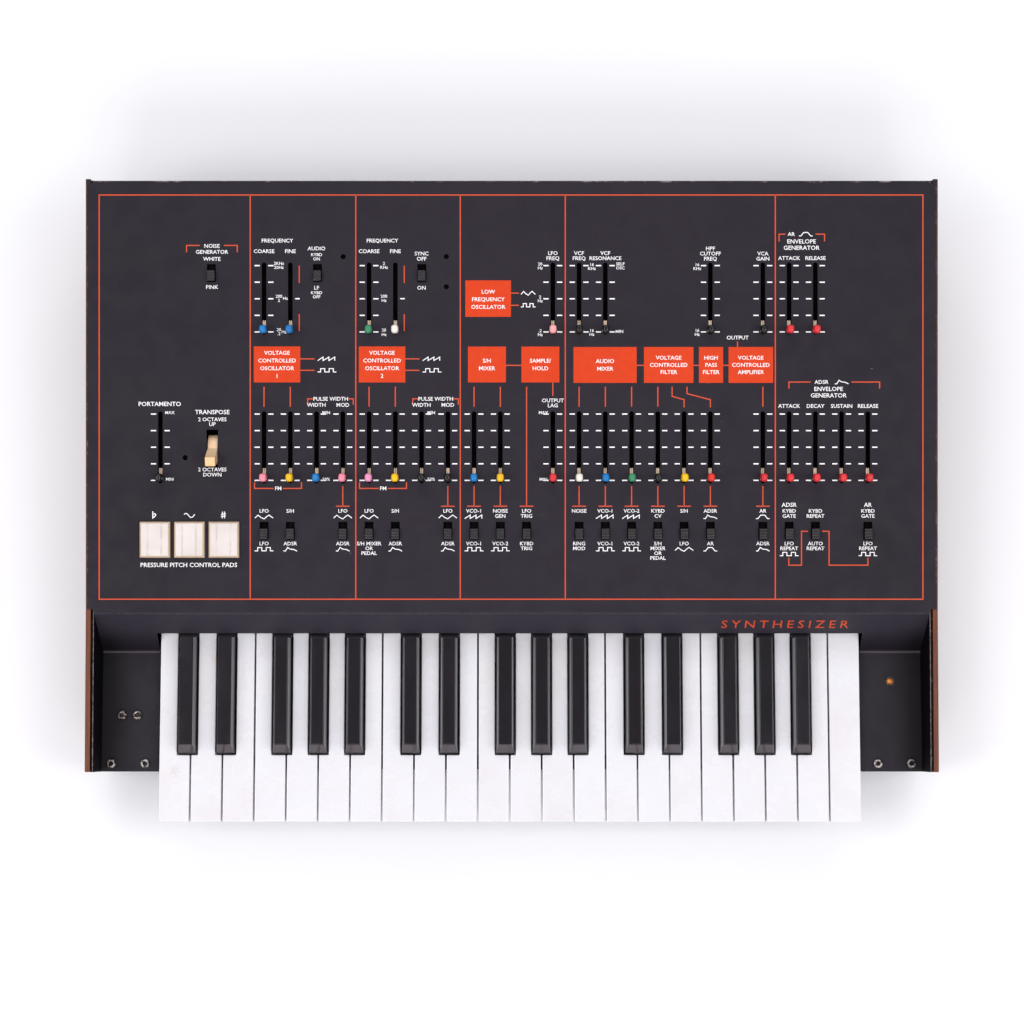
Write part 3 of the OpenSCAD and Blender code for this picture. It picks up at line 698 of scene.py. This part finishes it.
def say(words, x, v, cap=MEDIUM, align="CENTER"):
    text_jobs.append((words, x, v, cap, align))


def say_lines(lines, x, v, step, cap=MEDIUM):
    for k, words in enumerate(lines):
        say(words, x, v - k * step, cap)


def line(*points, width=THIN):
    orange.ribbon(points, width, UNDER, ORANGE_TOP)


def stroke(points, x, v, sx=1.0, sv=1.0, width=STROKE):
    white.ribbon([(x + px * sx, v + pv * sv) for px, pv in points], width, UNDER, WHITE_TOP)


def box(x0, v0, x1, v1, lines, v_text=None, step=5.5):
    """Filled box with lines of words in its middle, or the first of them at v_text."""
    orange.slab(x0, v0, x1, v1, UNDER, ORANGE_TOP, 1)
    middle = (x0 + x1) / 2
    top = (v0 + v1) / 2 + (len(lines) - 1) * step / 2 if v_text is None else v_text
    say_lines(lines, middle, top, step, BOX_TYPE)


def stub(n, low, high):
    line((column_x(n), low), (column_x(n), high))


def arrow(n, top=LEAD_TOP):
    """Lead from a control down to its switch, with a bar across its foot."""
    x = column_x(n)
    line((x, top), (x, LEAD_FOOT))
    line((x - TICK_OUT, LEAD_FOOT), (x + TICK_OUT, LEAD_FOOT))


def triangle_wave(x, v, wide=1.0):
    bends = [(-6.6, -0.9), (-4.4, 1.2), (-2.0, -0.6), (0, -1.5), (2.0, 0.2), (3.6, 1.3), (6.6, -0.9)]
    stroke(bends, x, v, wide)


def square_wave(x, v, wide=1.0):
    steps = [(-6.8, -1.2), (-4.6, -1.2), (-4.6, 1.2), (-1.6, 1.2), (-1.6, -1.2),
             (1.6, -1.2), (1.6, 1.2), (4.6, 1.2), (4.6, -1.2), (6.8, -1.2)]
    stroke(steps, x, v, wide)


def saw_wave(x, v):
    teeth = [(-6.8, -1.3), (-2.8, 1.3), (-2.8, -1.2), (1.4, 1.3), (1.4, -1.2), (5.6, 1.3), (5.6, -1.3)]
    stroke(teeth, x, v)


def adsr_curve(x, v):
    stroke([(-5.0, -1.3), (-3.6, -1.3), (-1.9, 1.3), (-0.3, 0.1), (2.6, -0.2), (4.9, -1.4)], x, v)


def ar_curve(x, v):
    stroke([(-5.0, -1.3), (-3.6, -1.3), (-1.6, 1.2), (1.4, 1.2), (3.4, -1.3), (4.9, -1.3)], x, v)


# Frame and the lines between the sections
LEFT, RIGHT, FOOT, HEAD = -299.4, 298.3, 9.8, 303.1
orange.ribbon([(LEFT, FOOT), (RIGHT, FOOT), (RIGHT, HEAD), (LEFT, HEAD)], LINE, UNDER, ORANGE_TOP, True)
for x in (-189.8, -113.2, -37.4, 38.8, 191.2):
    line((x, FOOT), (x, HEAD), width=LINE)

# Marks beside every slide control, apart from the fine tuning ones
FINE = (1, 5)
TICK_SHIFT = {REAR_V: -0.2, FRONT_V: 0.1}


def tick(x, v):
    white.slab(x - TICK_HALF, v - TICK_THICK, x + TICK_HALF, v + TICK_THICK, UNDER, WHITE_TOP)


def ticks(x, row_v, sides=(-1, 1), count=5):
    for k in range(-(count // 2), count // 2 + 1):
        for side in sides:
            tick(x + side * TICK_OUT, row_v + TICK_SHIFT[row_v] + k * TICK_STEP)


for n in REAR_CAPS:
    if n not in FINE:
        ticks(column_x(n), REAR_V)
for n in FRONT_CAPS:
    ticks(column_x(n), FRONT_V)
ticks(GLIDE_X, FRONT_V, (-1,))
ticks(GLIDE_X, FRONT_V, (1,), 3)

# Left section
say("NOISE", -217.6, 266.1)
say("GENERATOR", -217.6, 261.8)
say("WHITE", -217.6, 256.7)
say("PINK", -217.6, 236.3)
line((-236, 261.6), (-236, 266.5), (-226.5, 266.5))
line((-208.8, 266.5), (-199.2, 266.5), (-199.2, 261.6))
say("PORTAMENTO", -255.5, 151.5, LARGE)
say("MAX", -248.2, 145.2, SMALL)
say("MIN", -248.2, 96.9, SMALL)
say("TRANSPOSE", -217.3, 145.6, LARGE)
say("2 OCTAVES", -217.3, 140.3)
say("UP", -217.3, 136.8)
say("2 OCTAVES", -217.3, 103.9)
say("DOWN", -217.3, 100.2)
say("PRESSURE PITCH CONTROL PADS", -234.4, 34.7, LARGE)
# Flat, wave and sharp over the pads
flat_sign = [(-0.9, 2.6), (-0.9, -2.2), (1.0, -0.6), (1.3, 0.4), (0.5, 1.0), (-0.9, 0.2)]
stroke(flat_sign, -259.6, 70.9, width=0.7)
stroke([(-3.9 + k * 0.65, 1.5 * math.sin(2 * math.pi * k / 12 + 0.5)) for k in range(13)], -233.9, 70.6)
for side in (-0.8, 0.8):
    stroke([(side, -2.5), (side, 2.5)], -209.2, 70.9, width=0.55)
    stroke([(-1.7, side - 0.4), (1.7, side + 0.4)], -209.2, 70.9, width=0.75)


def oscillator(shift, number, first, marks):
    """Everything printed around one oscillator's eight controls."""
    coarse, fine = column_x(first), column_x(first + 1)
    say("FREQUENCY", shift - 170.2, 270)
    say("COARSE", coarse, 262.3)
    say("FINE", fine, 262.3)
    for words, v in marks:
        say(words, coarse + 10.8, v, SMALL)
    for low, high in ((239.3, 251.8), (204.4, 216.7)):
        line((fine + 6.5, low), (fine + 6.5, high))
    white.slab(fine + 3.6, 227.4, fine + 6.8, 228.3, UNDER, WHITE_TOP)
    box(shift - 187.2, 167.1, shift - 153.5, 193.2,
        ("VOLTAGE", "CONTROLLED", "OSCILLATOR", number), 188.6, 5.6)
    for v, wave in ((184.2, saw_wave), (175.9, square_wave)):
        line((shift - 153.5, v), (shift - 143.2, v))
        wave(shift - 134.1, v)
    for n in (first, first + 1):
        stub(n, 149.5, 164)
    say("PULSE WIDTH", shift - 131.4, 155.2)
    line((shift - 148.1, 151), (shift - 148.1, 155.2), (shift - 144, 155.2))
    line((shift - 118.8, 155.2), (shift - 115, 155.2), (shift - 115, 151))
    say("WIDTH", column_x(first + 2), 150.8)
    say("MOD", column_x(first + 3), 150.8)
    say("MIN", column_x(first + 2) + 7.0, 145.2, SMALL)
    say("50%", column_x(first + 2) + 7.0, 96.9, SMALL)
    line((shift - 186.7, 94.7), (shift - 186.7, 90.2), (shift - 172.9, 90.2))
    line((shift - 166.1, 90.2), (shift - 152.6, 90.2), (shift - 152.6, 94.7))
    say("FM", shift - 169.5, 90.2)
    arrow(first + 3)


KILO = (("2KHz", 253.5), ("20Hz", 250.6), ("200", 229.6), ("2", 226.6), ("20", 205.4), (".2", 202.5))
HERTZ = (("2", 253.4), ("KHz", 250.6), ("200", 229.7), ("Hz", 226.6), ("20", 205.1), ("Hz", 201.9))
oscillator(0, "1", 0, KILO)
say("Hz", column_x(0) + 15.4, 228.1, SMALL)
say("Hz", column_x(0) + 14.4, 203.8, SMALL)
say("AUDIO", column_x(2), 264.3)
say("KYBD", column_x(2), 259.8, SMALL)
say("ON", column_x(2), 256.7, SMALL)
say("LF", column_x(2), 235.8)
say("KYBD", column_x(2), 232.2, SMALL)
say("OFF", column_x(2), 229.2, SMALL)
oscillator(76.2, "2", 4, HERTZ)
say("SYNC", column_x(6), 260.6)
say("OFF", column_x(6), 256.8)
say("ON", column_x(6), 235.8)

# Low-frequency oscillator, mixer and sample/hold
box(-33.7, 214.7, -0.6, 241.1, ("LOW", "FREQUENCY", "OSCILLATOR"), 232.9)
for v, wave in ((231.9, triangle_wave), (223.1, square_wave)):
    line((-0.6, v), (5.2, v))
    wave(11.9, v, 0.78)
say_lines(("LFO", "FREQ"), column_x(11), 260.9, 3.7)
for words, v in (("20", 253), ("2", 229.1), (".2", 204.6)):
    say(words, 20.6, v, SMALL)
    say("Hz", 20.6, v - 2.8, SMALL)
box(-31.8, 167.1, -4.3, 193.1, ("S/H", "MIXER"))
box(7, 167.1, 34.5, 193.1, ("SAMPLE/", "HOLD"))
line((-4.3, 179.5), (7, 179.5))
line((column_x(11), 167.1), (column_x(11), 157.3))
say_lines(("OUTPUT", "LAG"), column_x(11), 154, 3.6)
say("MAX", column_x(11) - 6.9, 145.2, SMALL)
say("MIN", column_x(11) - 6.9, 96.8, SMALL)
for n in (8, 9):
    stub(n, 149.5, 164)
arrow(10, 164)
for n in (8, 9, 12, 13, 14, 15, 16, 17, 19):
    arrow(n)

# Mixer, filters and amplifier
box(44.8, 166.8, 90.6, 192.8, ("AUDIO", "MIXER"))
box(95.9, 166.8, 131.8, 192.8, ("VOLTAGE", "CONTROLLED", "FILTER"), None, 5.2)
box(135.8, 166.8, 153.3, 192.8, ("HIGH", "PASS", "FILTER"), None, 5.2)
box(157.3, 166.8, 189.6, 192.8, ("VOLTAGE", "CONTROLLED", "AMPLIFIER"), None, 5.2)
for low, high in ((90.6, 95.9), (131.8, 135.8), (153.3, 157.3)):
    line((low, 179.5), (high, 179.5))
say_lines(("VCF", "FREQ"), column_x(12), 260.9, 3.7)
say_lines(("VCF", "RESONANCE"), column_x(13), 260.9, 3.7)
say_lines(("HPF", "CUTOFF", "FREQ"), column_x(17), 264.3, 3.7)
say_lines(("VCA", "GAIN"), column_x(19), 260.6, 3.7)
for x in (column_x(12) + 9.2, column_x(17) - 9.6):
    for v, unit in ((252.6, "KHz"), (204.8, "Hz")):
        say("16", x, v, SMALL)
        say(unit, x, v - 2.8, SMALL)
say_lines(("SELF", "OSC"), column_x(13) + 10.9, 253.1, 2.9, SMALL)
say("MIN", column_x(13) + 10.2, 204.1, SMALL)
say("OUTPUT", 163.8, 199.6)
line((163.8, 196.8), (163.8, 192.8))
for n in (12, 13, 14, 15, 19):
    stub(n, 149.5, 164)
line((116.3, 164), (116.3, 157), (column_x(16), 154.6), (column_x(16), 149))
line((127.1, 164), (127.1, 159), (column_x(17), 154.6), (column_x(17), 149))

# Envelopes
say("AR", 202.8, 274.7)
ar_curve(213.4, 274.7)
line((193.9, 269.4), (193.9, 274.7), (198.5, 274.7))
line((220.4, 274.7), (226.9, 274.7), (226.9, 269.4))
say_lines(("ENVELOPE", "GENERATOR"), 210.2, 269.4, 4.6, 3.0)
say("ATTACK", column_x(20), 257.3)
say("RELEASE", column_x(21), 257.3)
say("ADSR", 224.7, 167.4)
adsr_curve(239.4, 167.4)
line((201.1, 162.6), (201.1, 167.4), (216.8, 167.4))
line((246.5, 167.4), (266.9, 167.4), (266.9, 162.6))
say_lines(("ENVELOPE", "GENERATOR"), 229.8, 162.4, 4.7, 3.0)
for n, words in ((20, "ATTACK"), (21, "DECAY"), (22, "SUSTAIN"), (23, "RELEASE")):
    say(words, column_x(n), 150)
say("ADSR", column_x(20), 78.3, 2.9)
say("AR", column_x(23), 78.3, 2.9)

# Switches: what is printed above and below each one
TRIANGLE, SQUARE, SAW, ADSR, AR = "triangle", "square", "saw", "adsr", "ar"
CURVES = {TRIANGLE: triangle_wave, SQUARE: square_wave, SAW: saw_wave, ADSR: adsr_curve, AR: ar_curve}
SWITCHES = {
    0: (("LFO", TRIANGLE), ("LFO", SQUARE)),
    1: (("S/H",), ("ADSR", ADSR)),
    3: (("LFO", TRIANGLE), ("ADSR", ADSR)),
    4: (("LFO", TRIANGLE), ("S/H MIXER", "OR", "PEDAL")),
    5: (("S/H",), ("ADSR", ADSR)),
    7: (("LFO", TRIANGLE), ("ADSR", ADSR)),
    8: (("VCO-1", SAW), ("VCO-1", SQUARE)),
    9: (("NOISE", "GEN"), ("VCO-2", SQUARE)),
    10: (("LFO", "TRIG"), ("KYBD", "TRIG")),
    12: (("NOISE",), ("RING", "MOD")),
    13: (("VCO-1", SAW), ("VCO-1", SQUARE)),
    14: (("VCO-2", SAW), ("VCO-2", SQUARE)),
    15: (("KYBD", "CV"), ("S/H", "MIXER", "OR", "PEDAL")),
    16: (("S/H",), ("LFO", TRIANGLE)),
    17: (("ADSR", ADSR), ("AR", AR)),
    19: (("AR", AR), ("ADSR", ADSR)),
    20: (("KYBD", "GATE"), ("LFO", "REPEAT", SQUARE)),
    21: (("KYBD", "REPEAT"), ("AUTO", "REPEAT")),
    23: (("KYBD", "GATE"), ("LFO", "REPEAT", SQUARE)),
}
for n, (above, under) in SWITCHES.items():
    x = column_x(n)
    rows = [(73.9, above[0])] + [(70.2, a) for a in above[1:]]
    rows += [(50.2 - 3.5 * k, u) for k, u in enumerate(under)]
    for v, words in rows:
        if words in CURVES:
            CURVES[words](x, v - 0.6)
        else:
            say(words, x, v, SWITCH_TYPE)
line((201, 39.9), (201, 34.5), (210.2, 34.5), (210.2, 59.1), (214.9, 59.1))
line((225, 59.1), (230.2, 59.1), (230.2, 34.5), (258.4, 34.5), (258.4, 39.9))


# How wide the letters are, how much bolder than the plain font, and their spacing
PANEL_TYPE = (1.05, 0.010, 1.0)


def set_type(jobs, solids, style):
    """Turns labels into thin closed letters and adds them to the solids."""
    wide, bold, spacing = style

    def curve_of(words, align):
        curve = bpy.data.curves.new("label", "FONT")
        curve.body = words
        curve.align_x = align
        curve.resolution_u = 2
        curve.offset = bold
        curve.space_character = spacing
        curve.extrude = 1.0
        return curve

    made = []
    for words, align in [("H", "LEFT")] + [(job[0], job[4]) for job in jobs]:
        obj = bpy.data.objects.new("label", curve_of(words, align))
        bpy.context.scene.collection.objects.link(obj)
        made.append(obj)
    # A plain H gives the font's own letter height
    depsgraph = bpy.context.evaluated_depsgraph_get()
    meshes = [bpy.data.meshes.new_from_object(obj.evaluated_get(depsgraph)) for obj in made]
    heights = [v.co.y for v in meshes[0].vertices]
    tall, foot = max(heights) - min(heights), min(heights)
    middle = (WHITE_TOP + UNDER) / 2
    for mesh, (words, x, v, cap, align) in zip(meshes[1:], jobs):
        size = cap / tall
        mesh.transform(
            Matrix.Translation((x, v - cap / 2 - foot * size, middle))
            @ Matrix.Diagonal((size * wide, size, (WHITE_TOP - UNDER) / 2, 1))
        )
        solids.bm.from_mesh(mesh)
    for obj in made:
        curve = obj.data
        bpy.data.objects.remove(obj)
        bpy.data.curves.remove(curve)
    bmesh.ops.remove_doubles(solids.bm, verts=solids.bm.verts, dist=0.0005)


set_type(text_jobs, white, PANEL_TYPE)
# One generic word on the fascia, in orange
slope = math.atan2(FASCIA_DROP, FASCIA_RUN)
fascia_print = Solids()
set_type([("SYNTHESIZER", 199.5, 36.5, 9.5, "CENTER")], fascia_print, (0.8, 0.0, 1.45))
fascia_print.piece(
    "fascia_printing",
    [ink("fascia_ink", srgb(220, 80, 36), 0.76)],
    "case",
    place=Matrix.Translation((0, y_fold, z_shelf))
    @ Matrix.Rotation(slope, 4, "X")
    @ Matrix.Diagonal((MM, MM, MM, 1)),
)
white.piece("white_printing", [ink("white_ink", srgb(250, 248, 250), 0.76)], "case")
orange.piece(
    "orange_printing",
    [ink("line_ink", srgb(214, 80, 50), 0.74), ink("box_ink", srgb(215, 60, 10), 0.74)],
    "case",
)


# ---- Floor, lights and camera ----

FLOOR_HALF, FLOOR_STEPS = 3, 12
floor_mesh = bpy.data.meshes.new("floor")
floor_bm = bmesh.new()
bmesh.ops.create_grid(floor_bm, x_segments=FLOOR_STEPS, y_segments=FLOOR_STEPS, size=FLOOR_HALF)
floor_bm.to_mesh(floor_mesh)
floor_bm.free()
floor_mesh.materials.append(floor_paper())
floor_object = bpy.data.objects.new("floor", floor_mesh)
bpy.context.scene.collection.objects.link(floor_object)


def softbox(name, place, aim, size, power):
    data = bpy.data.lights.new(name, "AREA")
    data.shape = "RECTANGLE"
    data.size, data.size_y = size
    data.energy = power
    obj = bpy.data.objects.new(name, data)
    obj.location = place
    obj.rotation_euler = (Vector(aim) - Vector(place)).to_track_quat("-Z", "Y").to_euler()
    bpy.context.scene.collection.objects.link(obj)


softbox("left_light", (-1.35, -0.3, 2.3), (0, 0, 0), (1.0, 1.2), 18)
softbox("right_light", (1.35, -0.3, 2.3), (0, 0, 0), (1.0, 1.2), 16.5)
softbox("front_light", (0, -1.5, 2.1), (0, 0, 0), (1.6, 0.8), 19)
softbox("back_light", (0, 1.7, 2.1), (0, 0.2, 0), (1.8, 0.8), 14)
world = bpy.data.worlds.new("studio")
world.use_nodes = True
background = world.node_tree.nodes["Background"]
background.inputs["Color"].default_value = (0.97, 0.97, 1.0, 1)
background.inputs["Strength"].default_value = 0.5
bpy.context.scene.world = world
bpy.context.scene.view_settings.view_transform = "Standard"

# The camera looks square on to the panel: its distance, the middle of its view and the width it sees
DISTANCE, VIEW_V, VIEW_WIDTH = 1700, 82, 743
SENSOR = 36
camera_data = bpy.data.cameras.new("camera")
camera_data.sensor_width = SENSOR
camera_data.lens = SENSOR * DISTANCE / VIEW_WIDTH
camera_data.shift_x = 0.0002
camera_data.shift_y = -0.012
camera_data.clip_end = 20
camera = bpy.data.objects.new("camera", camera_data)
camera.matrix_world = (
    Matrix.Translation((0, y_edge, z_edge))
    @ Matrix.Rotation(TILT, 4, "X")
    @ Matrix.Translation((0, VIEW_V * MM, DISTANCE * MM))
)
bpy.context.scene.collection.objects.link(camera)
bpy.context.scene.camera = camera
